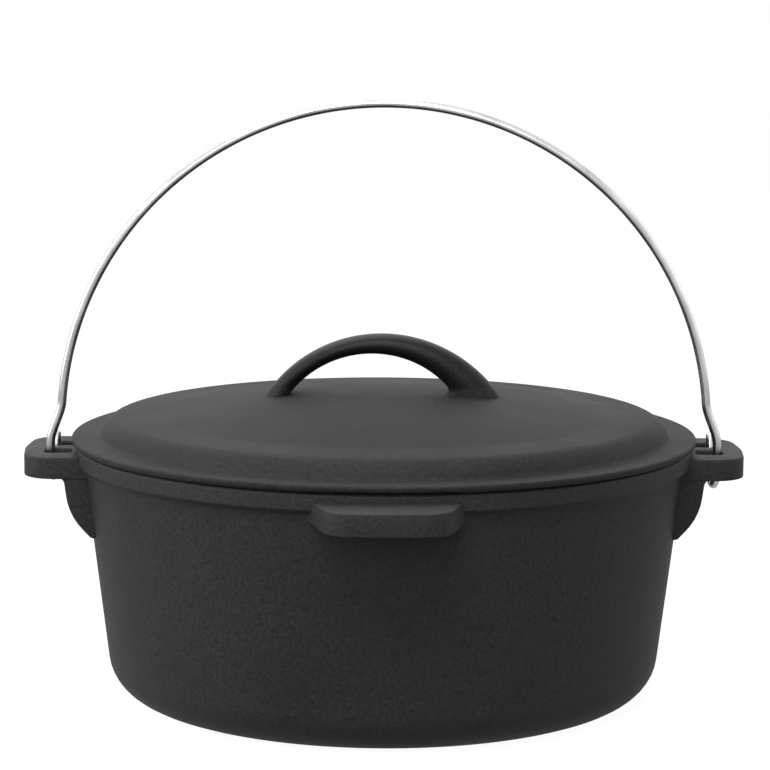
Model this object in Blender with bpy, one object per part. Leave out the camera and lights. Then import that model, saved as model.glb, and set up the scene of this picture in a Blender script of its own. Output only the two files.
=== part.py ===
"""Round cast iron camp pot: a pot casting, a domed lid casting and a wire bail.

Metres, +Z up. The origin is the centre of the base. The two slotted ears that
carry the bail lie on the X axis, and the two plain lift tabs on the Y axis.
The bail stands upright and the lid is seated.
"""
import math

import bmesh
import bpy
from mathutils import Vector

MM = 0.001

# Bowl of the pot
POT_HEIGHT = 122.0 * MM
RIM_RADIUS = 148.0 * MM
BAND_HEIGHT = 9.2 * MM
BAND_STEP = 3.4 * MM
WALL_DRAFT = math.radians(7.0)
WALL = 5.0 * MM
FLOOR = 5.5 * MM
BASE_CORNER = 21.0 * MM
INNER_CORNER = 20.0 * MM
CAST_EDGE = 1.2 * MM
RIM_EDGE = 2.0 * MM

# Ears and tabs, cast onto the rim band
LUG_DROP = 3.8 * MM
LUG_THICKNESS = 10.3 * MM
LUG_TOP_EDGE = 0.9 * MM
LUG_BOTTOM_EDGE = 4.2 * MM
EAR_NOSE = 10.7 * MM
EAR_SIDE_BAR = 15.8 * MM
EAR_CORNER = 15.5 * MM
EAR_NOSE_BULGE = 2.6 * MM
EAR_NOSE_RADIUS = 70.0 * MM
RIB_WIDTH = 9.2 * MM
SLOT_ROOT = 1.6 * MM
SLOT_CORNER = 3.0 * MM
SLOT_CHAMFER = 0.8 * MM
TAB_REACH = 26.2 * MM
TAB_ROOT_WIDTH = 68.0 * MM
TAB_TIP_WIDTH = 52.0 * MM
TAB_CORNER = 14.5 * MM
TAB_NOSE_BULGE = 0.9 * MM
TAB_NOSE_RADIUS = 120.0 * MM
TAB_ROOT_FILLET = 8.0 * MM

# Webs under the ears
WEB_THICKNESS = 8.0 * MM
WEB_DEPTH = 28.5 * MM
WEB_REACH = 3.8 * MM
WEB_BELLY_INSET = 2.3 * MM
WEB_BELLY_RISE = 11.0 * MM
WEB_TUCK = 5.0 * MM
WEB_EDGE = 1.0 * MM
WEB_SET_BACK = 0.4 * MM

# Lid
SEAT_GAP = 0.3 * MM
LID_OVERHANG = 2.0 * MM
FLANGE_THICKNESS = 3.4 * MM
FLANGE_WIDTH = 13.0 * MM
FLANGE_TOP_EDGE = 1.0 * MM
FLANGE_UNDER_EDGE = 2.0 * MM
LID_WALL = 4.6 * MM
SHOULDER_INSET = 3.8 * MM
SHOULDER_RISE = 8.6 * MM
SHOULDER_RADIUS = 11.0 * MM
DOME_FOOT_FILLET = 2.5 * MM
CREASE_INSET = 39.5 * MM
CREASE_RISE = 10.1 * MM
CROWN_RISE = 20.2 * MM
SKIRT_DEPTH = 5.0 * MM
SKIRT_WALL = 5.0 * MM
SKIRT_CLEARANCE = 0.8 * MM

# Arched grip on the lid
GRIP_HALF_SPAN = 47.9 * MM
GRIP_SHIFT = -3.4 * MM
GRIP_HEIGHT = 27.8 * MM
GRIP_WIDTH = 18.0 * MM
GRIP_THIN = 9.2 * MM
GRIP_MIDDLE = 9.6 * MM
GRIP_THICK = 18.0 * MM
GRIP_HEEL = 3.4 * MM
GRIP_HEEL_HEIGHT = 4.0 * MM
GRIP_RUN_IN = 5.0 * MM
GRIP_ROOT = 2.4 * MM
GRIP_SQUARENESS = 0.9
GRIP_TURN = math.radians(-3.0)

# Wire bail
WIRE_RADIUS = 2.1 * MM
HOOK_STANDOFF = 12.0 * MM
HOOK_PLAY = 0.4 * MM
HOOK_DROP_LEFT = 0.0 * MM
HOOK_DROP_RIGHT = 3.2 * MM
HOOK_SKEW = 1.1 * MM
SLOT_PLAY = 3.0 * MM
SLOT_END_PLAY = 0.6 * MM
TAIL_RISE = 6.6 * MM
BAIL_SIDE_CLEARANCE = 4.8 * MM
BAIL_CENTRE_RISE = 16.65 * MM
JOG_TOP_RISE = 13.5 * MM
JOG_FOOT_RISE = 3.0 * MM

# Fineness of the faceted surfaces
TURN_STEPS = 64
ARC_STEP = math.radians(22.5)
FINE_ARC_STEP = math.radians(45.0)
CROWN_STEPS = 5
GRIP_STEPS = 28
GRIP_SIDES = 12
ARCH_STEPS = 24
JOG_STEPS = 6
HOOK_STEPS = 9
WIRE_RESOLUTION = 3
ROOT_STEPS = 8
EDGE_SEGMENTS = 2
BROAD_EDGE_SEGMENTS = 3
SMOOTH_ANGLE = math.radians(35.0)

# Places that follow from the sizes
band_foot = POT_HEIGHT - BAND_HEIGHT
lug_top = POT_HEIGHT - LUG_DROP
lug_foot = lug_top - LUG_THICKNESS
axis_height = lug_top - LUG_THICKNESS / 2
rib_corner = math.hypot(RIB_WIDTH / 2 - SLOT_CHAMFER, LUG_THICKNESS / 2)
hook_radius = rib_corner + HOOK_PLAY + WIRE_RADIUS
hook_x = RIM_RADIUS + HOOK_STANDOFF
slot_edge = hook_radius + HOOK_DROP_RIGHT + WIRE_RADIUS + SLOT_PLAY
slot_end = hook_x + WIRE_RADIUS + SLOT_END_PLAY
slot_start = RIM_RADIUS + SLOT_ROOT
ear_half_width = slot_edge + EAR_SIDE_BAR
ear_tip = slot_end + EAR_NOSE
lid_seat = POT_HEIGHT + SEAT_GAP
lid_radius = RIM_RADIUS + LID_OVERHANG
flange_top = lid_seat + FLANGE_THICKNESS
dome_foot = lid_radius - FLANGE_WIDTH
shoulder_radius = dome_foot - SHOULDER_INSET
crease_radius = lid_radius - CREASE_INSET


def wall_radius(height):
    """Outer radius of the drafted wall at a height."""
    return RIM_RADIUS - BAND_STEP + (height - band_foot) * math.tan(WALL_DRAFT)


def crown_height(radius):
    """Height of the lid's crown, one circular arc from the centre to the crease."""
    sag = CROWN_RISE - CREASE_RISE
    arc_radius = (crease_radius ** 2 + sag ** 2) / (2 * sag)
    drop = arc_radius - math.sqrt(arc_radius ** 2 - radius ** 2)
    return flange_top + CROWN_RISE - drop


def rounded(corners, closed=False):
    """Replace each corner (x, y, fillet radius) by an arc tangent to both its sides."""
    points = []
    count = len(corners)
    for index, (x, y, radius) in enumerate(corners):
        at_end = not closed and index in (0, count - 1)
        if at_end or radius <= 0:
            points.append((x, y))
            continue
        corner = Vector((x, y))
        back = (Vector(corners[index - 1][:2]) - corner).normalized()
        ahead = (Vector(corners[(index + 1) % count][:2]) - corner).normalized()
        half_angle = back.angle(ahead) / 2
        centre = corner + (back + ahead).normalized() * (radius / math.sin(half_angle))
        start = corner + back * (radius / math.tan(half_angle)) - centre
        end = corner + ahead * (radius / math.tan(half_angle)) - centre
        turn = start.angle_signed(end)
        step = ARC_STEP if radius > 2 * CAST_EDGE else FINE_ARC_STEP
        steps = max(2, math.ceil(abs(turn) / step - 0.01))
        for part in range(steps + 1):
            angle = -turn * part / steps
            cosine = math.cos(angle)
            sine = math.sin(angle)
            points.append((centre.x + start.x * cosine - start.y * sine,
                           centre.y + start.x * sine + start.y * cosine))
    return points


def add_object(name, mesh, material):
    """Link a mesh as a named object with one material."""
    item = bpy.data.objects.new(name, mesh)
    bpy.context.scene.collection.objects.link(item)
    item.data.materials.append(material)
    return item


def finish_mesh(shape, name):
    """Make the faces point out and hand the shape over as a mesh."""
    bmesh.ops.recalc_face_normals(shape, faces=shape.faces)
    mesh = bpy.data.meshes.new(name)
    shape.to_mesh(mesh)
    shape.free()
    return mesh


def shade(mesh):
    """Smooth shading with sharp creases."""
    mesh.shade_smooth()
    mesh.set_sharp_from_angle(angle=SMOOTH_ANGLE)


def turned_mesh(name, profile):
    """Turn a profile of (radius, height) points round the Z axis."""
    shape = bmesh.new()
    rows = [shape.verts.new((radius, 0.0, height)) for radius, height in profile]
    edges = [shape.edges.new(pair) for pair in zip(rows, rows[1:])]
    bmesh.ops.spin(shape, geom=rows + edges, axis=(0, 0, 1), cent=(0, 0, 0),
                   angle=2 * math.pi, steps=TURN_STEPS, use_duplicate=False)
    bmesh.ops.remove_doubles(shape, verts=shape.verts, dist=0.001 * MM)
    return finish_mesh(shape, name)


def prism(outline, low, high):
    """Extrude a closed XY outline from one height to another."""
    shape = bmesh.new()
    floor = shape.faces.new([shape.verts.new((x, y, low)) for x, y in outline])
    grown = bmesh.ops.extrude_face_region(shape, geom=[floor])
    raised = [item for item in grown["geom"] if isinstance(item, bmesh.types.BMVert)]
    bmesh.ops.translate(shape, verts=raised, vec=(0, 0, high - low))
    bmesh.ops.recalc_face_normals(shape, faces=shape.faces)
    return shape


def soften(shape, height, width, segments):
    """Round the edges of a prism that lie at one height."""
    edges = [edge for edge in shape.edges
             if all(abs(vert.co.z - height) < 0.01 * MM for vert in edge.verts)]
    bmesh.ops.bevel(shape, geom=edges, offset=width, segments=segments,
                    profile=0.5, affect="EDGES", clamp_overlap=True)


def root_arc(half_width):
    """Back edge of a lug, buried in the middle of the wall, as (outward, across) points."""
    radius = wall_radius(lug_foot) - WALL / 2
    reach = math.asin(half_width / radius)
    angles = [reach * (1 - 2 * part / ROOT_STEPS) for part in range(ROOT_STEPS + 1)]
    return [(radius * math.cos(angle), radius * math.sin(angle)) for angle in angles]


def lug_mesh(name, front, root_half_width):
    """A lug from its front outline of (outward, across, fillet) corners and a buried root."""
    outline = root_arc(root_half_width) + rounded(front)
    shape = prism(outline, lug_foot, lug_top)
    soften(shape, lug_top, LUG_TOP_EDGE, EDGE_SEGMENTS)
    soften(shape, lug_foot, LUG_BOTTOM_EDGE, BROAD_EDGE_SEGMENTS)
    return finish_mesh(shape, name)


def ear_front():
    """Corners of an ear in plan: straight sides, round corners and a slightly bowed nose."""
    root = wall_radius(band_foot) - WALL / 2
    inset = ear_tip - EAR_NOSE_BULGE
    return [(root, -ear_half_width, 0.0),
            (inset, -ear_half_width, EAR_CORNER),
            (ear_tip, 0.0, EAR_NOSE_RADIUS),
            (inset, ear_half_width, EAR_CORNER),
            (root, ear_half_width, 0.0)]


def tab_front():
    """Corners of a tab in plan: sides that narrow outward and fillets at the root."""
    tip = RIM_RADIUS + TAB_REACH
    inset = tip - TAB_NOSE_BULGE
    root_half = TAB_ROOT_WIDTH / 2
    tip_half = TAB_TIP_WIDTH / 2
    wall = wall_radius(lug_foot)
    foot = math.sqrt(wall ** 2 - root_half ** 2)
    wide = root_half + TAB_ROOT_FILLET
    beside = math.sqrt(wall ** 2 - wide ** 2) - CAST_EDGE
    half = [(beside, -wide, 0.0), (foot, -root_half, TAB_ROOT_FILLET), (inset, -tip_half, TAB_CORNER)]
    mirrored = [(out, -across, radius) for out, across, radius in reversed(half)]
    return half + [(tip, 0.0, TAB_NOSE_RADIUS)] + mirrored


def web_mesh(name):
    """One upright web below an ear, drawn in (outward, height) and extruded across."""
    top = lug_foot + LUG_THICKNESS / 2
    low = lug_foot - WEB_DEPTH
    face = RIM_RADIUS + WEB_REACH
    across = ear_half_width - WEB_SET_BACK
    mid_wall = WALL / 2
    root_high = math.sqrt((wall_radius(lug_foot) - mid_wall) ** 2 - across ** 2)
    root_low = math.sqrt((wall_radius(low) - mid_wall) ** 2 - across ** 2)
    wall_low = math.sqrt(wall_radius(low) ** 2 - across ** 2)
    outline = rounded([(root_high, top, 0.0),
                       (root_low, low, 0.0),
                       (wall_low + 2 * CAST_EDGE, low, 2 * CAST_EDGE),
                       (face - WEB_BELLY_INSET, low + WEB_BELLY_RISE, WEB_DEPTH),
                       (face, lug_foot, 3 * CAST_EDGE),
                       (face + WEB_TUCK, lug_foot + CAST_EDGE, 0.0),
                       (face + WEB_TUCK, top, 0.0)], closed=True)
    shape = prism(outline, across - WEB_THICKNESS, across)
    soften(shape, across, WEB_EDGE, EDGE_SEGMENTS)
    soften(shape, across - WEB_THICKNESS, WEB_EDGE, EDGE_SEGMENTS)
    for vert in shape.verts:
        outward, height, sideways = vert.co
        vert.co = Vector((outward, sideways, height))
    return finish_mesh(shape, name)


def slot_mesh(name):
    """Cutter for one slot of an ear, with its mouth eased above and below."""
    levels = [(lug_foot - SLOT_CHAMFER, 2 * SLOT_CHAMFER),
              (lug_foot + SLOT_CHAMFER, 0.0),
              (lug_top - SLOT_CHAMFER, 0.0),
              (lug_top + SLOT_CHAMFER, 2 * SLOT_CHAMFER)]
    shape = bmesh.new()
    rings = []
    for height, grow in levels:
        start = slot_start - min(grow, SLOT_ROOT)
        end = slot_end + grow
        near = RIB_WIDTH / 2 - grow
        far = slot_edge + grow
        radius = SLOT_CORNER + grow
        outline = rounded([(start, near, radius), (end, near, radius),
                           (end, far, radius), (start, far, radius)], closed=True)
        rings.append([shape.verts.new((x, y, height)) for x, y in outline])
    skin(shape, rings)
    return finish_mesh(shape, name)


def skin(shape, rings):
    """Join equal rings of vertices into a tube and close both of its ends."""
    count = len(rings[0])
    for lower, upper in zip(rings, rings[1:]):
        for index in range(count):
            after = (index + 1) % count
            shape.faces.new((lower[index], lower[after], upper[after], upper[index]))
    shape.faces.new(rings[0])
    shape.faces.new(rings[-1])


def placed(name, mesh, material, turn, mirror=1):
    """A hidden building block: a mesh turned round Z, and mirrored across its own middle."""
    item = add_object(name, mesh.copy(), material)
    item.scale.y = mirror
    item.rotation_euler.z = turn
    item.hide_render = True
    item.display_type = "WIRE"
    return item


def combine(body, operation, blocks):
    """Add or cut building blocks, one exact Boolean each."""
    for block in blocks:
        cut = body.modifiers.new(block.name, "BOOLEAN")
        cut.operation = operation
        cut.solver = "EXACT"
        cut.object = block


def pot_profile():
    """Section of the bowl from the centre of the base, up the outside and down the inside."""
    inner_foot = wall_radius(FLOOR) - WALL
    mouth = wall_radius(POT_HEIGHT) - WALL
    return rounded([(0.0, 0.0, 0.0),
                    (wall_radius(0.0), 0.0, BASE_CORNER),
                    (wall_radius(band_foot - CAST_EDGE), band_foot - CAST_EDGE, 2 * CAST_EDGE),
                    (RIM_RADIUS, band_foot + CAST_EDGE, CAST_EDGE),
                    (RIM_RADIUS, POT_HEIGHT, RIM_EDGE),
                    (mouth, POT_HEIGHT, CAST_EDGE),
                    (inner_foot, FLOOR, INNER_CORNER),
                    (0.0, FLOOR, 0.0)])


def build_pot(material):
    """The pot casting: bowl, two slotted ears on webs, and two lift tabs."""
    pot = add_object("pot_body", turned_mesh("pot_body", pot_profile()), material)
    ear = lug_mesh("ear", ear_front(), ear_half_width)
    tab_root = TAB_ROOT_WIDTH / 2 + TAB_ROOT_FILLET
    tab = lug_mesh("tab", tab_front(), tab_root)
    web = web_mesh("web")
    slot = slot_mesh("slot")
    added = []
    cutters = []
    for side, turn in (("right", 0.0), ("left", math.pi)):
        added.append(placed("ear_" + side, ear, material, turn))
        for place, mirror in (("front", -1), ("rear", 1)):
            added.append(placed(f"web_{side}_{place}", web, material, turn, mirror))
            cutters.append(placed(f"slot_{side}_{place}", slot, material, turn, mirror))
    for place, turn in (("front", -math.pi / 2), ("rear", math.pi / 2)):
        added.append(placed("tab_" + place, tab, material, turn))
    combine(pot, "UNION", added)
    combine(pot, "DIFFERENCE", cutters)
    shade(pot.data)


def lid_profile():
    """Section of the lid from the centre of its underside, out and back over the top."""
    skirt_foot = lid_seat - SKIRT_DEPTH
    skirt_radius = wall_radius(skirt_foot) - WALL - SKIRT_CLEARANCE
    skirt_inner = skirt_radius - SKIRT_WALL
    hollow_foot = dome_foot - LID_WALL
    crown = [crease_radius * part / CROWN_STEPS for part in range(CROWN_STEPS + 1)]
    under = [(radius, crown_height(radius) - LID_WALL) for radius in crown[:-1]]
    below = rounded([under[-1] + (0.0,),
                     (crease_radius, flange_top + CREASE_RISE - LID_WALL, 0.0),
                     (shoulder_radius - LID_WALL, flange_top + SHOULDER_RISE - LID_WALL, CAST_EDGE * 2),
                     (hollow_foot, lid_seat, CAST_EDGE),
                     (skirt_inner, lid_seat, CAST_EDGE / 2),
                     (skirt_inner, skirt_foot, CAST_EDGE),
                     (skirt_radius, skirt_foot, CAST_EDGE),
                     (skirt_radius, lid_seat, CAST_EDGE / 2),
                     (lid_radius, lid_seat, FLANGE_UNDER_EDGE),
                     (lid_radius, flange_top, FLANGE_TOP_EDGE),
                     (dome_foot, flange_top, DOME_FOOT_FILLET),
                     (shoulder_radius, flange_top + SHOULDER_RISE, SHOULDER_RADIUS),
                     (crease_radius, flange_top + CREASE_RISE, 0.0)])
    over = [(radius, crown_height(radius)) for radius in reversed(crown[:-1])]
    return under[:-1] + below + over


def grip_mesh():
    """The arched grip: an oval section carried along a circular arc, stoutest at its right foot."""
    foot = crown_height(GRIP_HALF_SPAN)
    apex = flange_top + CROWN_RISE + GRIP_HEIGHT - GRIP_MIDDLE / 2
    rise = apex - foot
    radius = (GRIP_HALF_SPAN ** 2 + rise ** 2) / (2 * rise)
    foot_angle = math.asin(GRIP_HALF_SPAN / radius)
    first = -foot_angle - (GRIP_THIN / 2 + GRIP_RUN_IN) / radius
    last = foot_angle + (GRIP_THICK / 2 + GRIP_RUN_IN) / radius
    shape = bmesh.new()
    rings = []
    for step in range(GRIP_STEPS + 1):
        angle = first + (last - first) * step / GRIP_STEPS
        share = max(-1.0, min(1.0, angle / foot_angle))
        slope = (GRIP_THICK - GRIP_THIN) / 2
        growth = (GRIP_THICK + GRIP_THIN) / 2 - GRIP_MIDDLE
        thickness = GRIP_MIDDLE + slope * share + growth * share ** 2
        rings.append(grip_ring(shape, angle, radius, apex - radius, thickness / 2))
    skin(shape, rings)
    return finish_mesh(shape, "grip")


def grip_ring(shape, angle, radius, centre_height, half_thickness):
    """One oval section of the grip, square to the arc and stopped just under the lid's crown."""
    outward = Vector((math.sin(angle), 0, math.cos(angle)))
    middle = Vector((GRIP_SHIFT, 0, centre_height)) + outward * radius
    ring = []
    for side in range(GRIP_SIDES):
        around = 2 * math.pi * side / GRIP_SIDES
        cosine = math.cos(around)
        sine = math.sin(around)
        wide = math.copysign(abs(cosine) ** GRIP_SQUARENESS, cosine) * GRIP_WIDTH / 2
        thick = math.copysign(abs(sine) ** GRIP_SQUARENESS, sine) * half_thickness
        place = middle + Vector((0, wide, 0)) + outward * thick
        crown = crown_height(math.hypot(place.x, place.y))
        if angle > 0:
            near_crown = max(0.0, min(1.0, 1 - (place.z - crown) / GRIP_HEEL_HEIGHT))
            place.x -= GRIP_HEEL * max(0.0, -sine) * near_crown ** 2
        place.z = max(place.z, crown - GRIP_ROOT)
        ring.append(shape.verts.new(place))
    return ring


def build_lid(material):
    """The lid casting: flange, domed top, locating skirt and arched grip."""
    lid = add_object("lid", turned_mesh("lid", lid_profile()), material)
    grip = placed("grip", grip_mesh(), material, GRIP_TURN)
    combine(lid, "UNION", [grip])
    shade(lid.data)


def bail_half(hook_drop):
    """Centreline of half of the bail, from the crown of the arch to the tip of the tail."""
    arch_radius = lid_radius + BAIL_SIDE_CLEARANCE
    arch_centre = axis_height + BAIL_CENTRE_RISE
    jog_top = arch_centre + JOG_TOP_RISE
    jog_foot = lug_top + JOG_FOOT_RISE
    last = math.asin(JOG_TOP_RISE / arch_radius)
    points = []
    for step in range(ARCH_STEPS + 1):
        angle = math.pi / 2 + (last - math.pi / 2) * step / ARCH_STEPS
        points.append((arch_radius * math.cos(angle), -hook_radius,
                       arch_centre + arch_radius * math.sin(angle)))
    arch_x = points[-1][0]
    for step in range(1, JOG_STEPS + 1):
        share = step / JOG_STEPS
        ease = share * share * (3 - 2 * share)
        points.append((arch_x + (hook_x - arch_x) * ease, -hook_radius,
                       jog_top + (jog_foot - jog_top) * share))
    hook_centre = axis_height - hook_drop
    for step in range(HOOK_STEPS + 1):
        angle = math.pi + math.pi * step / HOOK_STEPS
        points.append((hook_x - HOOK_SKEW * step / HOOK_STEPS, hook_radius * math.cos(angle),
                       hook_centre + hook_radius * math.sin(angle)))
    points.append((hook_x - HOOK_SKEW, hook_radius, lug_top + TAIL_RISE))
    return points


def build_bail(material):
    """The wire bail, with its origin on the line through the ears that it swings about."""
    left = [(-x, y, z) for x, y, z in reversed(bail_half(HOOK_DROP_LEFT)[1:])]
    route = left + bail_half(HOOK_DROP_RIGHT)
    wire = bpy.data.curves.new("bail", "CURVE")
    wire.dimensions = "3D"
    wire.bevel_depth = WIRE_RADIUS
    wire.bevel_resolution = WIRE_RESOLUTION
    wire.use_fill_caps = True
    line = wire.splines.new("POLY")
    line.points.add(len(route) - 1)
    for point, (x, y, z) in zip(line.points, route):
        point.co = (x, y, z - axis_height, 1.0)
    wire.materials.append(material)
    bail = bpy.data.objects.new("bail", wire)
    bail.location = (0.0, 0.0, axis_height)
    bpy.context.scene.collection.objects.link(bail)


def principled(name, colour, roughness, metallic):
    """A Principled material with one colour."""
    material = bpy.data.materials.new(name)
    material.use_nodes = True
    shader = material.node_tree.nodes["Principled BSDF"]
    shader.inputs["Base Color"].default_value = colour + (1.0,)
    shader.inputs["Roughness"].default_value = roughness
    shader.inputs["Metallic"].default_value = metallic
    return material


def main():
    """Empty the scene and build the three pieces."""
    for item in list(bpy.data.objects):
        bpy.data.objects.remove(item, do_unlink=True)
    build_pot(principled("pot_iron", (0.035, 0.035, 0.036), 0.62, 0.0))
    build_lid(principled("lid_iron", (0.038, 0.038, 0.039), 0.58, 0.0))
    build_bail(principled("bail_wire", (0.62, 0.62, 0.61), 0.24, 1.0))


main()
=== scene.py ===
"""Looks of the cast iron camp pot: fine castings, drawn steel wire and a plain studio."""
import math

import bmesh
import bpy
from mathutils import Matrix, Vector


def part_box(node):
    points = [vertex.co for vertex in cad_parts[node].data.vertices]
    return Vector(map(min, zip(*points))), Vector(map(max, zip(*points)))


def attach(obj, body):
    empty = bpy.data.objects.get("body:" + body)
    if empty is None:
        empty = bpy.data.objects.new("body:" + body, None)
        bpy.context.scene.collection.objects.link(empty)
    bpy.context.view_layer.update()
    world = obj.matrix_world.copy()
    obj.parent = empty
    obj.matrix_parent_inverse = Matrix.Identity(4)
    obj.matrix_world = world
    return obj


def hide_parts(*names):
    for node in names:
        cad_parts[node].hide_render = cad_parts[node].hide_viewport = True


MM = 0.001

# Bowl
RIM_RADIUS = 148.0 * MM
BAND_HEIGHT = 9.2 * MM
BAND_STEP = 3.4 * MM
WALL_DRAFT = math.radians(7.0)
WALL = 5.0 * MM
FLOOR = 5.5 * MM
BASE_CORNER = 21.0 * MM
INNER_CORNER = 20.0 * MM
CAST_EDGE = 1.2 * MM
RIM_EDGE = 2.0 * MM

# Ears and tabs
LUG_DROP = 3.8 * MM
LUG_THICKNESS = 10.3 * MM
LUG_TOP_EDGE = 0.9 * MM
LUG_BOTTOM_EDGE = 4.2 * MM
EAR_HALF_WIDTH = 33.0 * MM
EAR_CORNER = 15.5 * MM
EAR_NOSE_BULGE = 2.6 * MM
EAR_NOSE_RADIUS = 70.0 * MM
EAR_ROOT_FILLET = 5.0 * MM
RIB_WIDTH = 9.2 * MM
SLOT_START = 149.6 * MM
SLOT_END = 162.7 * MM
SLOT_EDGE = 17.2 * MM
SLOT_CORNER = 3.0 * MM
SLOT_CHAMFER = 0.8 * MM
TAB_ROOT_WIDTH = 68.0 * MM
TAB_TIP_WIDTH = 52.0 * MM
TAB_CORNER = 14.5 * MM
TAB_NOSE_BULGE = 0.9 * MM
TAB_NOSE_RADIUS = 120.0 * MM
TAB_ROOT_FILLET = 8.0 * MM
WEB_THICKNESS = 8.0 * MM
WEB_DEPTH = 28.5 * MM
WEB_REACH = 3.8 * MM
WEB_BELLY_INSET = 2.3 * MM
WEB_BELLY_RISE = 11.0 * MM
WEB_TUCK = 5.0 * MM
WEB_EDGE = 1.0 * MM
WEB_SET_BACK = 0.4 * MM

# Lid
FLANGE_THICKNESS = 3.4 * MM
FLANGE_WIDTH = 13.0 * MM
FLANGE_TOP_EDGE = 1.0 * MM
FLANGE_UNDER_EDGE = 2.0 * MM
LID_WALL = 4.6 * MM
SHOULDER_INSET = 3.8 * MM
SHOULDER_RISE = 8.6 * MM
SHOULDER_RADIUS = 11.0 * MM
DOME_FOOT_FILLET = 2.5 * MM
CREASE_INSET = 39.5 * MM
CREASE_RISE = 10.1 * MM
CREASE_RADIUS = 40.0 * MM
CROWN_RISE = 20.2 * MM
SKIRT_DEPTH = 5.0 * MM
SKIRT_WALL = 5.0 * MM
SKIRT_CLEARANCE = 0.8 * MM
GRIP_HALF_SPAN = 47.9 * MM
GRIP_SHIFT = -3.4 * MM
GRIP_HEIGHT = 27.8 * MM
GRIP_WIDTH = 18.0 * MM
GRIP_THIN = 9.2 * MM
GRIP_MIDDLE = 9.6 * MM
GRIP_THICK = 18.0 * MM
GRIP_HEEL = 3.4 * MM
GRIP_HEEL_HEIGHT = 4.0 * MM
GRIP_RUN_IN = 5.0 * MM
GRIP_ROOT = 2.4 * MM
GRIP_SQUARENESS = 0.9
GRIP_TURN = math.radians(-3.0)

# Wire bail
WIRE_RADIUS = 2.1 * MM
HOOK_X = 160.0 * MM
HOOK_PLAY = 0.4 * MM
HOOK_DROP_LEFT = 0.0 * MM
HOOK_DROP_RIGHT = 3.2 * MM
HOOK_SKEW = 1.1 * MM
TAIL_RISE = 6.6 * MM
BAIL_SIDE_CLEARANCE = 4.8 * MM
BAIL_CENTRE_RISE = 16.65 * MM
JOG_TOP_RISE = 13.5 * MM
JOG_FOOT_RISE = 3.0 * MM
WIRE_END_LENGTH = 1.0 * MM
WIRE_END_SHARE = 0.7

# Fineness of the surfaces
TURN_STEPS = 192
ARC_STEP = math.radians(9.0)
CROWN_STEPS = 14
GRIP_STEPS = 110
GRIP_SIDES = 40
ARCH_STEPS = 90
JOG_STEPS = 16
HOOK_STEPS = 24
ROOT_STEPS = 12
MOUTH_STEPS = 4
EDGE_SEGMENTS = 4
BROAD_EDGE_SEGMENTS = 6
WIRE_RESOLUTION = 8
SMOOTH_ANGLE = math.radians(32.0)
SAME_PLACE = 0.001 * MM
SAME_HEIGHT = 0.01 * MM

# Iron: base colours, a darker colour painted as shade on the lid's grip, sizes of its grain and how far
# its bumps rise
IRON_DARK = (0.018, 0.018, 0.0185)
IRON_LIGHT = (0.027, 0.027, 0.0275)
# IRON_PAINTED_SHADE is painted shade: the colour the lid turns to above its crown, where the grip
# stands
IRON_PAINTED_SHADE = (0.010, 0.010, 0.010)
CLOUDS_PER_METRE = 14.0
SWELLS_PER_METRE = 45.0
GRAINS_PER_METRE = 620.0
SANDS_PER_METRE = 2300.0
SWELL_HEIGHT = 0.4 * MM
GRAIN_HEIGHT = 0.24 * MM
SAND_HEIGHT = 0.04 * MM
# Above the crown the roughness drops by this much and the colour turns to the painted shade, starting
# this far above the crown and fading in over the ramp; the pot never reaches the last height
POLISH_ABOVE_CROWN = 0.24
SHADE_AND_POLISH_START = 0.5 * MM
SHADE_AND_POLISH_RAMP = 3.0 * MM
NEVER_SHADED_OR_POLISHED = 1.0

# Steel of the wire
STEEL_DULL = (0.50, 0.50, 0.50)
STEEL_BRIGHT = (0.72, 0.72, 0.71)
SMEARS_PER_METRE = 60.0
LINES_PER_METRE = 1800.0
LINE_HEIGHT = 0.02 * MM

# Floor and background
FLOOR_HALF_SIZE = 6.0
FLOOR_GAP = 0.05 * MM
FLOOR_GREY = (0.14, 0.14, 0.14)
FLOOR_GLOW = 0.95
FLOOR_IN_MIRRORS = 0.45
WORLD_IN_MIRRORS = 1.0
WORLD_LEVEL = 0.25
WHITE = (1.0, 1.0, 1.0)

# Camera, as the photograph was taken
CAMERA_AIM = Vector((0.3, 0.0, 148.8)) * MM
CAMERA_DISTANCE = 1400.0 * MM
CAMERA_ELEVATION = math.radians(8.16)
CAMERA_AZIMUTH = math.radians(-0.7)
CAMERA_ROLL = math.radians(0.31)
CAMERA_FOCAL_PIXELS = 2904.6
FRAME_PIXELS = 770
SENSOR = 36.0

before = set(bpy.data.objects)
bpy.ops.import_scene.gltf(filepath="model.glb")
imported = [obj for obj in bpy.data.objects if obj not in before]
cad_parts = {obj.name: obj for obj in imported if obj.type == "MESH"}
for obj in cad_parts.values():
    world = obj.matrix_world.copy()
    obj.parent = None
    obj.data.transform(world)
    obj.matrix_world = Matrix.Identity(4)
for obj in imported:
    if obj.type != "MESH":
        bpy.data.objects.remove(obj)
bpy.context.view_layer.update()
pot_low, pot_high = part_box("pot_body")
lid_low, lid_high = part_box("lid")

# Places that follow from the frame
pot_height = pot_high[2]
band_foot = pot_height - BAND_HEIGHT
lug_top = pot_height - LUG_DROP
lug_foot = lug_top - LUG_THICKNESS
axis_height = lug_top - LUG_THICKNESS / 2
ear_tip = pot_high[0]
tab_tip = pot_high[1]
lid_radius = lid_high[0]
lid_seat = lid_low[2] + SKIRT_DEPTH
flange_top = lid_seat + FLANGE_THICKNESS
dome_foot = lid_radius - FLANGE_WIDTH
shoulder_radius = dome_foot - SHOULDER_INSET
crease_radius = lid_radius - CREASE_INSET
rib_corner = math.hypot(RIB_WIDTH / 2 - SLOT_CHAMFER, LUG_THICKNESS / 2)
hook_radius = rib_corner + HOOK_PLAY + WIRE_RADIUS


def wall_radius(height):
    """Outer radius of the drafted wall at a height."""
    return RIM_RADIUS - BAND_STEP + (height - band_foot) * math.tan(WALL_DRAFT)


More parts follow.
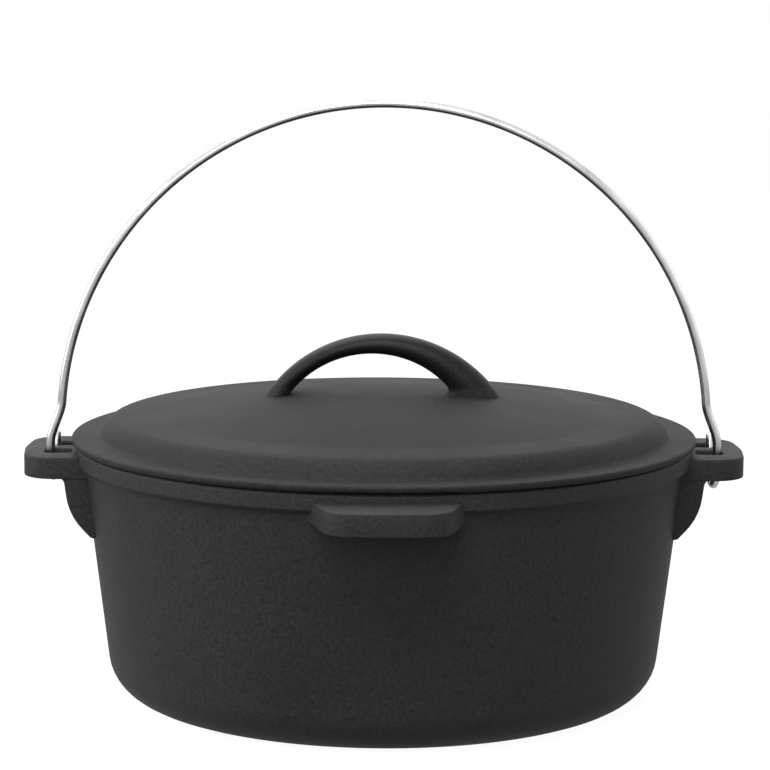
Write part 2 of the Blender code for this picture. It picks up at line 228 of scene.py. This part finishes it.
def crown_height(radius):
    """Height of the lid's crown, one circular arc from the centre to the crease."""
    sag = CROWN_RISE - CREASE_RISE
    arc_radius = (crease_radius ** 2 + sag ** 2) / (2 * sag)
    drop = arc_radius - math.sqrt(arc_radius ** 2 - radius ** 2)
    return flange_top + CROWN_RISE - drop


def rounded(corners, closed=False):
    """Replace each corner (x, y, fillet radius) by an arc tangent to both its sides."""
    points = []
    count = len(corners)
    for index, (x, y, radius) in enumerate(corners):
        at_end = not closed and index in (0, count - 1)
        if at_end or radius <= 0:
            points.append((x, y))
            continue
        corner = Vector((x, y))
        back = (Vector(corners[index - 1][:2]) - corner).normalized()
        ahead = (Vector(corners[(index + 1) % count][:2]) - corner).normalized()
        half_angle = back.angle(ahead) / 2
        centre = corner + (back + ahead).normalized() * (radius / math.sin(half_angle))
        start = corner + back * (radius / math.tan(half_angle)) - centre
        end = corner + ahead * (radius / math.tan(half_angle)) - centre
        turn = start.angle_signed(end)
        steps = max(4, math.ceil(abs(turn) / ARC_STEP))
        for part in range(steps + 1):
            angle = -turn * part / steps
            cosine = math.cos(angle)
            sine = math.sin(angle)
            points.append((centre.x + start.x * cosine - start.y * sine,
                           centre.y + start.x * sine + start.y * cosine))
    return points


def finish_mesh(shape, name):
    """Make the faces point out and hand the shape over as a mesh."""
    bmesh.ops.recalc_face_normals(shape, faces=shape.faces)
    mesh = bpy.data.meshes.new(name)
    shape.to_mesh(mesh)
    shape.free()
    return mesh


def add_object(name, mesh):
    """Link a mesh as a named object."""
    item = bpy.data.objects.new(name, mesh)
    bpy.context.scene.collection.objects.link(item)
    return item


def turned_mesh(name, profile):
    """Turn a profile of (radius, height) points round the Z axis."""
    shape = bmesh.new()
    rows = [shape.verts.new((radius, 0.0, height)) for radius, height in profile]
    edges = [shape.edges.new(pair) for pair in zip(rows, rows[1:])]
    bmesh.ops.spin(shape, geom=rows + edges, axis=(0, 0, 1), cent=(0, 0, 0),
                   angle=2 * math.pi, steps=TURN_STEPS, use_duplicate=False)
    bmesh.ops.remove_doubles(shape, verts=shape.verts, dist=SAME_PLACE)
    return finish_mesh(shape, name)


def skin(shape, rings):
    """Join equal rings of vertices into a tube and close both of its ends."""
    count = len(rings[0])
    for lower, upper in zip(rings, rings[1:]):
        for index in range(count):
            after = (index + 1) % count
            shape.faces.new((lower[index], lower[after], upper[after], upper[index]))
    shape.faces.new(rings[0])
    shape.faces.new(rings[-1])


def prism(outline, low, high):
    """Extrude a closed XY outline from one height to another."""
    shape = bmesh.new()
    floor = shape.faces.new([shape.verts.new((x, y, low)) for x, y in outline])
    grown = bmesh.ops.extrude_face_region(shape, geom=[floor])
    raised = [item for item in grown["geom"] if isinstance(item, bmesh.types.BMVert)]
    bmesh.ops.translate(shape, verts=raised, vec=(0, 0, high - low))
    bmesh.ops.recalc_face_normals(shape, faces=shape.faces)
    return shape


def soften(shape, height, width, segments):
    """Round the edges of a prism that lie at one height."""
    edges = [edge for edge in shape.edges
             if all(abs(vert.co.z - height) < SAME_HEIGHT for vert in edge.verts)]
    bmesh.ops.bevel(shape, geom=edges, offset=width, segments=segments,
                    profile=0.5, affect="EDGES", clamp_overlap=True)


def union(name, body, added, cutters):
    """Add and cut building blocks, bake the result into one mesh and drop the blocks."""
    for operation, blocks in (("UNION", added), ("DIFFERENCE", cutters)):
        for block in blocks:
            step = body.modifiers.new(block.name, "BOOLEAN")
            step.operation = operation
            step.solver = "EXACT"
            step.object = block
    bpy.context.view_layer.update()
    result = body.evaluated_get(bpy.context.evaluated_depsgraph_get())
    mesh = bpy.data.meshes.new_from_object(result)
    for block in [body] + added + cutters:
        bpy.data.objects.remove(block, do_unlink=True)
    mesh.shade_smooth()
    mesh.set_sharp_from_angle(angle=SMOOTH_ANGLE)
    return add_object(name, mesh)


def placed(name, mesh, turn, mirror=1):
    """A building block turned round Z, and mirrored across its own middle plane."""
    item = add_object(name, mesh.copy())
    item.data.transform(Matrix.Rotation(turn, 4, "Z") @ Matrix.Diagonal((1, mirror, 1, 1)))
    if mirror < 0:
        item.data.flip_normals()
    return item


def pot_profile():
    """Section of the bowl from the centre of the base, up the outside and down the inside."""
    inner_foot = wall_radius(FLOOR) - WALL
    mouth = wall_radius(pot_height) - WALL
    return rounded([(0.0, 0.0, 0.0),
                    (wall_radius(0.0), 0.0, BASE_CORNER),
                    (wall_radius(band_foot - CAST_EDGE), band_foot - CAST_EDGE, 2 * CAST_EDGE),
                    (RIM_RADIUS, band_foot + CAST_EDGE, CAST_EDGE),
                    (RIM_RADIUS, pot_height, RIM_EDGE),
                    (mouth, pot_height, CAST_EDGE),
                    (inner_foot, FLOOR, INNER_CORNER),
                    (0.0, FLOOR, 0.0)])


def root_arc(half_width):
    """Back edge of a lug, buried in the middle of the wall, as (outward, across) points."""
    radius = wall_radius(lug_foot) - WALL / 2
    reach = math.asin(half_width / radius)
    angles = [reach * (1 - 2 * part / ROOT_STEPS) for part in range(ROOT_STEPS + 1)]
    return [(radius * math.cos(angle), radius * math.sin(angle)) for angle in angles]


def lug_mesh(name, front, root_half_width):
    """A lug from its front outline of (outward, across, fillet) corners and a buried root."""
    outline = root_arc(root_half_width) + rounded(front)
    shape = prism(outline, lug_foot, lug_top)
    soften(shape, lug_top, LUG_TOP_EDGE, EDGE_SEGMENTS)
    soften(shape, lug_foot, LUG_BOTTOM_EDGE, BROAD_EDGE_SEGMENTS)
    return finish_mesh(shape, name)


def rooted_front(tip, root_half, tip_half, fillet, corner, bulge, bow):
    """Front outline of a lug: fillets at its root, sides, round corners and a bowed nose."""
    inset = tip - bulge
    wall = wall_radius(lug_foot)
    foot = math.sqrt(wall ** 2 - root_half ** 2)
    wide = root_half + fillet
    beside = math.sqrt(wall ** 2 - wide ** 2) - CAST_EDGE
    half = [(beside, -wide, 0.0), (foot, -root_half, fillet), (inset, -tip_half, corner)]
    mirrored = [(out, -across, radius) for out, across, radius in reversed(half)]
    return half + [(tip, 0.0, bow)] + mirrored


def web_mesh(name):
    """One upright web below an ear, drawn in (outward, height) and extruded across."""
    top = lug_foot + LUG_THICKNESS / 2
    low = lug_foot - WEB_DEPTH
    face = RIM_RADIUS + WEB_REACH
    across = EAR_HALF_WIDTH - WEB_SET_BACK
    mid_wall = WALL / 2
    root_high = math.sqrt((wall_radius(lug_foot) - mid_wall) ** 2 - across ** 2)
    root_low = math.sqrt((wall_radius(low) - mid_wall) ** 2 - across ** 2)
    wall_low = math.sqrt(wall_radius(low) ** 2 - across ** 2)
    outline = rounded([(root_high, top, 0.0),
                       (root_low, low, 0.0),
                       (wall_low + 2 * CAST_EDGE, low, 2 * CAST_EDGE),
                       (face - WEB_BELLY_INSET, low + WEB_BELLY_RISE, WEB_DEPTH),
                       (face, lug_foot, 3 * CAST_EDGE),
                       (face + WEB_TUCK, lug_foot + CAST_EDGE, 0.0),
                       (face + WEB_TUCK, top, 0.0)], closed=True)
    shape = prism(outline, across - WEB_THICKNESS, across)
    soften(shape, across, WEB_EDGE, EDGE_SEGMENTS)
    soften(shape, across - WEB_THICKNESS, WEB_EDGE, EDGE_SEGMENTS)
    for vert in shape.verts:
        outward, height, sideways = vert.co
        vert.co = Vector((outward, sideways, height))
    return finish_mesh(shape, name)


def slot_mesh(name):
    """Cutter for one slot of an ear, with its mouth rounded above and below."""
    mouth = []
    for part in range(MOUTH_STEPS + 1):
        angle = math.pi / 2 * part / MOUTH_STEPS
        height = lug_foot + SLOT_CHAMFER * (1 - math.cos(angle))
        mouth.append((height, SLOT_CHAMFER * (1 - math.sin(angle))))
    upper_mouth = [(lug_foot + lug_top - height, grow) for height, grow in reversed(mouth)]
    below = (lug_foot - SLOT_CHAMFER, SLOT_CHAMFER)
    above = (lug_top + SLOT_CHAMFER, SLOT_CHAMFER)
    shape = bmesh.new()
    rings = []
    for height, grow in [below] + mouth + upper_mouth + [above]:
        start = SLOT_START - grow
        end = SLOT_END + grow
        near = RIB_WIDTH / 2 - grow
        far = SLOT_EDGE + grow
        radius = SLOT_CORNER + grow
        outline = rounded([(start, near, radius), (end, near, radius),
                           (end, far, radius), (start, far, radius)], closed=True)
        rings.append([shape.verts.new((x, y, height)) for x, y in outline])
    skin(shape, rings)
    return finish_mesh(shape, name)


def build_pot():
    """The pot casting: bowl, two slotted ears on webs, and two lift tabs."""
    pot = add_object("bowl", turned_mesh("bowl", pot_profile()))
    ear_front = rooted_front(ear_tip, EAR_HALF_WIDTH, EAR_HALF_WIDTH, EAR_ROOT_FILLET, EAR_CORNER,
                             EAR_NOSE_BULGE, EAR_NOSE_RADIUS)
    tab_front = rooted_front(tab_tip, TAB_ROOT_WIDTH / 2, TAB_TIP_WIDTH / 2, TAB_ROOT_FILLET,
                             TAB_CORNER, TAB_NOSE_BULGE, TAB_NOSE_RADIUS)
    ear = lug_mesh("ear", ear_front, EAR_HALF_WIDTH + EAR_ROOT_FILLET)
    tab = lug_mesh("tab", tab_front, TAB_ROOT_WIDTH / 2 + TAB_ROOT_FILLET)
    web = web_mesh("web")
    slot = slot_mesh("slot")
    added = []
    cutters = []
    for side, turn in (("right", 0.0), ("left", math.pi)):
        added.append(placed("ear_" + side, ear, turn))
        for place, mirror in (("front", -1), ("rear", 1)):
            added.append(placed(f"web_{side}_{place}", web, turn, mirror))
            cutters.append(placed(f"slot_{side}_{place}", slot, turn, mirror))
    for place, turn in (("front", -math.pi / 2), ("rear", math.pi / 2)):
        added.append(placed("tab_" + place, tab, turn))
    return union("pot_casting", pot, added, cutters)


def lid_profile():
    """Section of the lid from the centre of its underside, out and back over the top."""
    skirt_foot = lid_seat - SKIRT_DEPTH
    skirt_radius = wall_radius(skirt_foot) - WALL - SKIRT_CLEARANCE
    skirt_inner = skirt_radius - SKIRT_WALL
    hollow_foot = dome_foot - LID_WALL
    inner_end = crease_radius * (1 - 1 / CROWN_STEPS)
    crown = [inner_end * part / CROWN_STEPS for part in range(CROWN_STEPS + 1)]
    under = [(radius, crown_height(radius) - LID_WALL) for radius in crown]
    outer = rounded([under[-1] + (0.0,),
                     (crease_radius, flange_top + CREASE_RISE - LID_WALL, CREASE_RADIUS),
                     (shoulder_radius - LID_WALL, flange_top + SHOULDER_RISE - LID_WALL, CAST_EDGE * 2),
                     (hollow_foot, lid_seat, CAST_EDGE),
                     (skirt_inner, lid_seat, CAST_EDGE / 2),
                     (skirt_inner, skirt_foot, CAST_EDGE),
                     (skirt_radius, skirt_foot, CAST_EDGE),
                     (skirt_radius, lid_seat, CAST_EDGE / 2),
                     (lid_radius, lid_seat, FLANGE_UNDER_EDGE),
                     (lid_radius, flange_top, FLANGE_TOP_EDGE),
                     (dome_foot, flange_top, DOME_FOOT_FILLET),
                     (shoulder_radius, flange_top + SHOULDER_RISE, SHOULDER_RADIUS),
                     (crease_radius, flange_top + CREASE_RISE, CREASE_RADIUS),
                     (crown[-1], crown_height(crown[-1]), 0.0)])
    over = [(radius, crown_height(radius)) for radius in reversed(crown[:-1])]
    return under[:-1] + outer + over


def grip_mesh():
    """The arched grip: an oval section carried along a circular arc, stoutest at its right foot."""
    foot = crown_height(GRIP_HALF_SPAN)
    apex = flange_top + CROWN_RISE + GRIP_HEIGHT - GRIP_MIDDLE / 2
    rise = apex - foot
    radius = (GRIP_HALF_SPAN ** 2 + rise ** 2) / (2 * rise)
    foot_angle = math.asin(GRIP_HALF_SPAN / radius)
    first = -foot_angle - (GRIP_THIN / 2 + GRIP_RUN_IN) / radius
    last = foot_angle + (GRIP_THICK / 2 + GRIP_RUN_IN) / radius
    shape = bmesh.new()
    rings = []
    for step in range(GRIP_STEPS + 1):
        angle = first + (last - first) * step / GRIP_STEPS
        share = max(-1.0, min(1.0, angle / foot_angle))
        slope = (GRIP_THICK - GRIP_THIN) / 2
        growth = (GRIP_THICK + GRIP_THIN) / 2 - GRIP_MIDDLE
        thickness = GRIP_MIDDLE + slope * share + growth * share ** 2
        rings.append(grip_ring(shape, angle, radius, apex - radius, thickness / 2))
    skin(shape, rings)
    return finish_mesh(shape, "grip")


def grip_ring(shape, angle, radius, centre_height, half_thickness):
    """One oval section of the grip, square to the arc and stopped just under the lid's crown."""
    outward = Vector((math.sin(angle), 0, math.cos(angle)))
    middle = Vector((GRIP_SHIFT, 0, centre_height)) + outward * radius
    ring = []
    for side in range(GRIP_SIDES):
        around = 2 * math.pi * side / GRIP_SIDES
        cosine = math.cos(around)
        sine = math.sin(around)
        wide = math.copysign(abs(cosine) ** GRIP_SQUARENESS, cosine) * GRIP_WIDTH / 2
        thick = math.copysign(abs(sine) ** GRIP_SQUARENESS, sine) * half_thickness
        place = middle + Vector((0, wide, 0)) + outward * thick
        crown = crown_height(math.hypot(place.x, place.y))
        if angle > 0:
            near_crown = max(0.0, min(1.0, 1 - (place.z - crown) / GRIP_HEEL_HEIGHT))
            place.x -= GRIP_HEEL * max(0.0, -sine) * near_crown ** 2
        place.z = max(place.z, crown - GRIP_ROOT)
        ring.append(shape.verts.new(place))
    return ring


def build_lid():
    """The lid casting: flange, domed top, locating skirt and arched grip."""
    lid = add_object("dome", turned_mesh("dome", lid_profile()))
    grip = placed("grip", grip_mesh(), GRIP_TURN)
    return union("lid_casting", lid, [grip], [])


def bail_half(hook_drop):
    """Centreline of half of the bail, from the crown of the arch to the tip of the tail."""
    arch_radius = lid_radius + BAIL_SIDE_CLEARANCE
    arch_centre = axis_height + BAIL_CENTRE_RISE
    jog_top = arch_centre + JOG_TOP_RISE
    jog_foot = lug_top + JOG_FOOT_RISE
    last = math.asin(JOG_TOP_RISE / arch_radius)
    points = []
    for step in range(ARCH_STEPS + 1):
        angle = math.pi / 2 + (last - math.pi / 2) * step / ARCH_STEPS
        points.append((arch_radius * math.cos(angle), -hook_radius,
                       arch_centre + arch_radius * math.sin(angle)))
    arch_x = points[-1][0]
    for step in range(1, JOG_STEPS + 1):
        share = step / JOG_STEPS
        ease = share * share * (3 - 2 * share)
        points.append((arch_x + (HOOK_X - arch_x) * ease, -hook_radius,
                       jog_top + (jog_foot - jog_top) * share))
    hook_centre = axis_height - hook_drop
    for step in range(HOOK_STEPS + 1):
        angle = math.pi + math.pi * step / HOOK_STEPS
        points.append((HOOK_X - HOOK_SKEW * step / HOOK_STEPS, hook_radius * math.cos(angle),
                       hook_centre + hook_radius * math.sin(angle)))
    tip = lug_top + TAIL_RISE
    points.append((HOOK_X - HOOK_SKEW, hook_radius, tip - WIRE_END_LENGTH))
    points.append((HOOK_X - HOOK_SKEW, hook_radius, tip))
    return points


def build_bail():
    """The wire bail as one curve, with its sheared ends a little rounded."""
    left = [(-x, y, z) for x, y, z in reversed(bail_half(HOOK_DROP_LEFT)[1:])]
    route = left + bail_half(HOOK_DROP_RIGHT)
    wire = bpy.data.curves.new("bail_wire", "CURVE")
    wire.dimensions = "3D"
    wire.bevel_depth = WIRE_RADIUS
    wire.bevel_resolution = WIRE_RESOLUTION
    wire.use_fill_caps = True
    line = wire.splines.new("POLY")
    line.points.add(len(route) - 1)
    line.use_smooth = True
    for point, place in zip(line.points, route):
        point.co = place + (1.0,)
    for end in (line.points[0], line.points[-1]):
        end.radius = WIRE_END_SHARE
    return add_object("bail_wire", wire)


def link(tree, source, output, target, socket):
    """Join two node sockets by name or number."""
    tree.links.new(source.outputs[output], target.inputs[socket])


def noise(tree, coordinates, scale, detail, roughness=0.5):
    """A noise texture in object space."""
    node = tree.nodes.new("ShaderNodeTexNoise")
    node.inputs["Scale"].default_value = scale
    node.inputs["Detail"].default_value = detail
    node.inputs["Roughness"].default_value = roughness
    link(tree, coordinates, "Object", node, "Vector")
    return node


def spread(tree, source, output, low, high, from_low=0.3, from_high=0.7):
    """Carry a texture value from its own range to a chosen one."""
    node = tree.nodes.new("ShaderNodeMapRange")
    node.inputs["From Min"].default_value = from_low
    node.inputs["From Max"].default_value = from_high
    node.inputs["To Min"].default_value = low
    node.inputs["To Max"].default_value = high
    link(tree, source, output, node, "Value")
    return node


def bump(tree, source, output, distance, strength, under=None):
    """A bump of a real height, laid over another."""
    node = tree.nodes.new("ShaderNodeBump")
    node.inputs["Distance"].default_value = distance
    node.inputs["Strength"].default_value = strength
    link(tree, source, output, node, "Height")
    if under is not None:
        link(tree, under, "Normal", node, "Normal")
    return node


def painted_shade_and_polish_above(tree, coordinates, height):
    """Factor that is 0 on the plain casting and 1 above a height, where the iron is smoother and its
    colour is darkened as painted shade.
    """
    parts = tree.nodes.new("ShaderNodeSeparateXYZ")
    link(tree, coordinates, "Object", parts, "Vector")
    return spread(tree, parts, "Z", 0.0, 1.0, height, height + SHADE_AND_POLISH_RAMP)


def mixed(tree, first, second):
    """A colour mixer; its two colours, where given, are fixed ones."""
    node = tree.nodes.new("ShaderNodeMixRGB")
    if first is not None:
        node.inputs["Color1"].default_value = first + (1.0,)
    if second is not None:
        node.inputs["Color2"].default_value = second + (1.0,)
    return node


def iron(name, smooth, rough, shine, shade_and_polish_from):
    """Seasoned cast iron: sand grain, faint clouds and uneven sheen; above a height smoother, and
    darkened there as painted shade.
    """
    material = bpy.data.materials.new(name)
    material.use_nodes = True
    tree = material.node_tree
    shader = tree.nodes["Principled BSDF"]
    shader.inputs["Specular IOR Level"].default_value = shine
    place = tree.nodes.new("ShaderNodeTexCoord")
    clouds = noise(tree, place, CLOUDS_PER_METRE, 5.0, 0.6)
    grain = noise(tree, place, GRAINS_PER_METRE, 3.0, 0.6)
    sand = noise(tree, place, SANDS_PER_METRE, 2.0)
    swell = noise(tree, place, SWELLS_PER_METRE, 2.0)
    colour = mixed(tree, IRON_DARK, IRON_LIGHT)
    link(tree, spread(tree, clouds, "Fac", 0.0, 0.7), "Result", colour, "Fac")
    speck = mixed(tree, None, None)
    speck.blend_type = "MULTIPLY"
    speck.inputs["Fac"].default_value = 0.8
    link(tree, colour, "Color", speck, "Color1")
    link(tree, spread(tree, grain, "Fac", 0.45, 1.55), "Result", speck, "Color2")
    # Painted shade: above the given height the colour is darkened towards near-black, and the roughness
    # is lowered
    shade_and_polish = painted_shade_and_polish_above(tree, place, shade_and_polish_from)
    painted_shade = mixed(tree, None, IRON_PAINTED_SHADE)
    link(tree, shade_and_polish, "Result", painted_shade, "Fac")
    link(tree, speck, "Color", painted_shade, "Color1")
    link(tree, painted_shade, "Color", shader, "Base Color")
    sheen = tree.nodes.new("ShaderNodeMath")
    sheen.operation = "ADD"
    link(tree, spread(tree, clouds, "Fac", smooth, rough), "Result", sheen, 0)
    link(tree, spread(tree, grain, "Fac", -0.04, 0.04), "Result", sheen, 1)
    polish = tree.nodes.new("ShaderNodeMath")
    polish.operation = "MULTIPLY_ADD"
    polish.inputs[1].default_value = -POLISH_ABOVE_CROWN
    link(tree, shade_and_polish, "Result", polish, 0)
    link(tree, sheen, "Value", polish, 2)
    link(tree, polish, "Value", shader, "Roughness")
    waves = bump(tree, swell, "Fac", SWELL_HEIGHT, 0.7)
    sandy = bump(tree, grain, "Fac", GRAIN_HEIGHT, 1.0, waves)
    fine = bump(tree, sand, "Fac", SAND_HEIGHT, 0.6, sandy)
    link(tree, fine, "Normal", shader, "Normal")
    return material


def steel(name):
    """Bright drawn wire: fine lines along it and faint clouds in its polish."""
    material = bpy.data.materials.new(name)
    material.use_nodes = True
    tree = material.node_tree
    shader = tree.nodes["Principled BSDF"]
    shader.inputs["Metallic"].default_value = 1.0
    place = tree.nodes.new("ShaderNodeTexCoord")
    clouds = noise(tree, place, SMEARS_PER_METRE, 4.0)
    scratch = noise(tree, place, LINES_PER_METRE, 3.0)
    colour = mixed(tree, STEEL_DULL, STEEL_BRIGHT)
    link(tree, spread(tree, clouds, "Fac", 0.0, 1.0), "Result", colour, "Fac")
    link(tree, colour, "Color", shader, "Base Color")
    link(tree, spread(tree, clouds, "Fac", 0.16, 0.28), "Result", shader, "Roughness")
    drawn = bump(tree, scratch, "Fac", LINE_HEIGHT, 0.35)
    link(tree, drawn, "Normal", shader, "Normal")
    return material


def dress(piece, material, node, body):
    """Give a piece its material and its body, and hide the CAD node that it stands for."""
    piece.data.materials.clear()
    piece.data.materials.append(material)
    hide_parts(node)
    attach(piece, body)


def background_light(tree, mirrored):
    """Value that is 1 for camera rays and a given level for glossy rays, else 0."""
    path = tree.nodes.new("ShaderNodeLightPath")
    dimmed = tree.nodes.new("ShaderNodeMath")
    dimmed.operation = "MULTIPLY"
    dimmed.inputs[1].default_value = mirrored
    seen = tree.nodes.new("ShaderNodeMath")
    seen.operation = "MAXIMUM"
    link(tree, path, "Is Glossy Ray", dimmed, 0)
    link(tree, path, "Is Camera Ray", seen, 0)
    link(tree, dimmed, "Value", seen, 1)
    return seen


def build_floor():
    """A pale floor that shows almost white and keeps the pot's soft shadow."""
    shape = bmesh.new()
    bmesh.ops.create_grid(shape, x_segments=8, y_segments=8, size=FLOOR_HALF_SIZE)
    floor = add_object("floor", finish_mesh(shape, "floor"))
    material = bpy.data.materials.new("floor")
    material.use_nodes = True
    tree = material.node_tree
    shader = tree.nodes["Principled BSDF"]
    shader.inputs["Base Color"].default_value = FLOOR_GREY + (1.0,)
    shader.inputs["Roughness"].default_value = 0.9
    shader.inputs["Specular IOR Level"].default_value = 0.0
    shader.inputs["Emission Color"].default_value = WHITE + (1.0,)
    seen = background_light(tree, FLOOR_IN_MIRRORS)
    glow = tree.nodes.new("ShaderNodeMath")
    glow.operation = "MULTIPLY"
    glow.inputs[1].default_value = FLOOR_GLOW
    link(tree, seen, "Value", glow, 0)
    link(tree, glow, "Value", shader, "Emission Strength")
    floor.data.materials.append(material)
    floor.location.z = -FLOOR_GAP


def build_world():
    """White where it is seen, and a plain grey level of light from all round."""
    world = bpy.data.worlds.new("studio")
    bpy.context.scene.world = world
    world.use_nodes = True
    tree = world.node_tree
    background = tree.nodes["Background"]
    seen = background_light(tree, WORLD_IN_MIRRORS)
    level = spread(tree, seen, "Value", WORLD_LEVEL, 1.0, 0.0, 1.0)
    background.inputs["Color"].default_value = WHITE + (1.0,)
    link(tree, level, "Result", background, "Strength")


def add_lamp(name, place, aim, width, height, power):
    """A soft rectangular lamp that points at a place."""
    data = bpy.data.lights.new(name, "AREA")
    data.shape = "RECTANGLE"
    data.size = width
    data.size_y = height
    data.energy = power
    lamp = bpy.data.objects.new(name, data)
    lamp.location = place
    lamp.rotation_euler = (Vector(aim) - Vector(place)).to_track_quat("-Z", "Y").to_euler()
    bpy.context.scene.collection.objects.link(lamp)


def build_lamps():
    """Broad lamps above and behind, at both sides, in front and high in front."""
    middle = (0.0, 0.0, 0.1)
    add_lamp("top_lamp", (-0.5, 0.9, 1.7), middle, 1.6, 1.2, 7.5)
    add_lamp("left_lamp", (-1.9, -0.3, 0.9), middle, 1.0, 1.4, 24.0)
    add_lamp("right_lamp", (1.9, 0.2, 1.0), middle, 0.8, 1.2, 3.5)
    add_lamp("front_lamp", (-0.3, -2.4, 1.1), middle, 1.6, 1.2, 18.0)
    add_lamp("high_front_lamp", (-0.2, -1.3, 1.95), middle, 1.4, 0.8, 28.0)


def build_camera():
    """The photograph's viewpoint, with its small roll."""
    data = bpy.data.cameras.new("camera")
    data.sensor_width = SENSOR
    data.lens = CAMERA_FOCAL_PIXELS / FRAME_PIXELS * SENSOR
    data.clip_end = 50.0
    camera = bpy.data.objects.new("camera", data)
    back = Vector((0.0, -math.cos(CAMERA_ELEVATION), math.sin(CAMERA_ELEVATION)))
    back.rotate(Matrix.Rotation(CAMERA_AZIMUTH, 3, "Z"))
    place = CAMERA_AIM + back * CAMERA_DISTANCE
    turn = (-back).to_track_quat("-Z", "Y").to_matrix().to_4x4()
    camera.matrix_world = Matrix.Translation(place) @ turn @ Matrix.Rotation(CAMERA_ROLL, 4, "Z")
    bpy.context.scene.collection.objects.link(camera)
    bpy.context.scene.camera = camera


crown_top = flange_top + CROWN_RISE
pot_iron = iron("pot_iron", smooth=0.50, rough=0.64, shine=0.22, shade_and_polish_from=NEVER_SHADED_OR_POLISHED)
# The lid's grip, above the crown, gets painted shade in its colour and a smoother finish
lid_iron = iron("lid_iron", smooth=0.54, rough=0.68, shine=0.16, shade_and_polish_from=crown_top + SHADE_AND_POLISH_START)
dress(build_pot(), pot_iron, "pot_body", "pot")
dress(build_lid(), lid_iron, "lid", "lid")
dress(build_bail(), steel("bail_steel"), "bail", "bail")
build_floor()
build_world()
build_lamps()
build_camera()
bpy.context.scene.view_settings.view_transform = "Standard"
